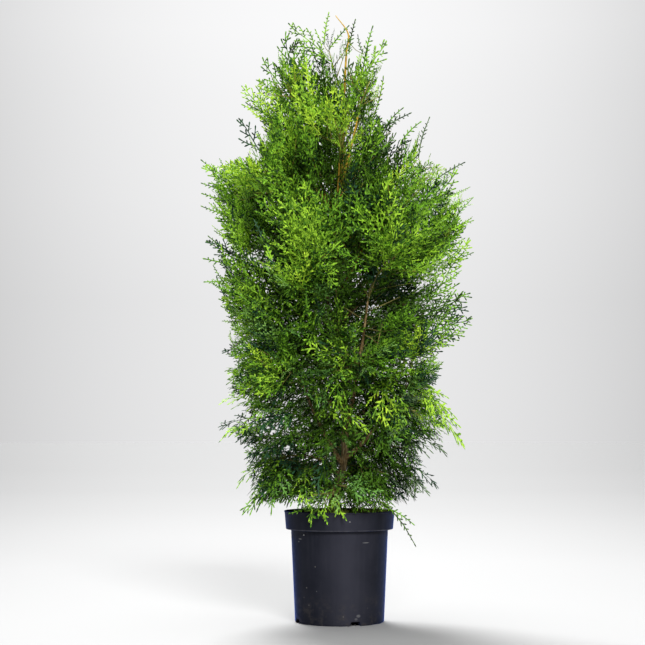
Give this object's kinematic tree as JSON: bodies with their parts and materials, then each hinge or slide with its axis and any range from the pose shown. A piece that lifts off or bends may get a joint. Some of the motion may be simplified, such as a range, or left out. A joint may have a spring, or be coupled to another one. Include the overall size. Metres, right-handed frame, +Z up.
{
  "type": "potted arborvitae",
  "caption": "Young narrow evergreen conifer with fan-like sprays of scale leaves on steep boughs, growing in a round dark nursery pot with a deep stepped rim.",
  "frame": {"origin": "centre of the pot's flat underside, which stands on the ground", "axes": "+Z up along the trunk, +X to the right and -Y towards the viewer of the picture"},
  "size_m": [0.6144, 0.5952, 1.339],
  "materials": {
    "pot": "satin",
    "soil": "rough",
    "bark": "rough",
    "foliage": "satin"
  },
  "bodies": {
    "root": {"bough_1": "bark", "bough_10": "bark", "bough_11": "bark", "bough_12": "bark", "bough_13": "bark", "bough_14": "bark", "bough_15": "bark", "bough_16": "bark", "bough_17": "bark", "bough_18": "bark", "bough_19": "bark", "bough_2": "bark", "bough_20": "bark", "bough_21": "bark", "bough_3": "bark", "bough_4": "bark", "bough_5": "bark", "bough_6": "bark", "bough_7": "bark", "bough_8": "bark", "bough_9": "bark", "left_leader": "bark", "left_leader_mass": "foliage", "left_shoulder": "bark", "left_shoulder_mass": "foliage", "mass_1": "foliage", "mass_10": "foliage", "mass_11": "foliage", "mass_12": "foliage", "mass_13": "foliage", "mass_14": "foliage", "mass_15": "foliage", "mass_16": "foliage", "mass_17": "foliage", "mass_18": "foliage", "mass_19": "foliage", "mass_2": "foliage", "mass_20": "foliage", "mass_21": "foliage", "mass_3": "foliage", "mass_4": "foliage", "mass_5": "foliage", "mass_6": "foliage", "mass_7": "foliage", "mass_8": "foliage", "mass_9": "foliage", "mass_top": "foliage", "middle_leader": "bark", "middle_leader_mass": "foliage", "pot": "pot", "right_leader": "bark", "right_leader_mass": "foliage", "right_shoulder": "bark", "right_shoulder_mass": "foliage", "root_ball": "soil", "trunk": "bark"}
  },
  "joints": []
}
